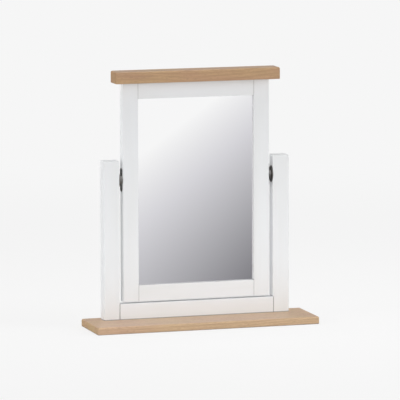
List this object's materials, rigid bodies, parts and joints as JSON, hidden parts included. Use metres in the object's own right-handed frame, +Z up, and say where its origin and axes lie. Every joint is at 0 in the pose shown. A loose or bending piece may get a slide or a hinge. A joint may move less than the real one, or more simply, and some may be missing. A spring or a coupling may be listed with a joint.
{
  "type": "dressing table mirror",
  "caption": "Swivel mirror for a dressing table: a rectangular painted frame with an oak cap tilts on side hinges between posts on an oak base board.",
  "frame": {"origin": "middle of the base board's underside, on the surface that the object stands on", "axes": "+X to the right as seen by someone looking into the mirror, +Y to the back, +Z up"},
  "size_m": [0.523, 0.14, 0.5812],
  "materials": {
    "oak": "clear satin lacquer over straight-grained light oak",
    "white_paint": "satin white paint on wood",
    "mirror": "flat silvered float glass",
    "bare_wood": "bare planed softwood",
    "beech": "bare turned beech",
    "backing": "smooth brown hardboard",
    "dark_metal": "pressed steel with a dark aged plating",
    "steel": "plain zinc-plated steel",
    "fibre": "hard red-brown vulcanised fibre"
  },
  "bodies": {
    "stand": {"base_board": "oak", "base_screws": "steel", "left_post": "white_paint", "right_post": "white_paint", "stretcher_rail": "white_paint", "stretcher_dowels": "beech", "left_post_plate": "dark_metal", "right_post_plate": "dark_metal", "post_plate_screws": "dark_metal", "left_rivet": "steel", "right_rivet": "steel", "left_friction_washer": "fibre", "right_friction_washer": "fibre"},
    "mirror_frame": {"left_stile": "white_paint", "right_stile": "white_paint", "top_rail": "white_paint", "bottom_rail": "white_paint", "top_cap": "oak", "cap_dowels": "beech", "mirror_glass": "mirror", "left_bead": "bare_wood", "right_bead": "bare_wood", "top_bead": "bare_wood", "bottom_bead": "bare_wood", "backing_board": "backing", "backing_screws": "steel", "left_frame_plate": "dark_metal", "right_frame_plate": "dark_metal", "strap_screws": "dark_metal", "left_spring_washer": "steel", "right_spring_washer": "steel"}
  },
  "joints": [
    {"name": "mirror_tilt", "type": "hinge", "parent": "stand", "child": "mirror_frame", "pos_m": [0, 0.04, 0.3345], "axis": [1, 0, 0], "range_deg": [-171, 167]}
  ]
}
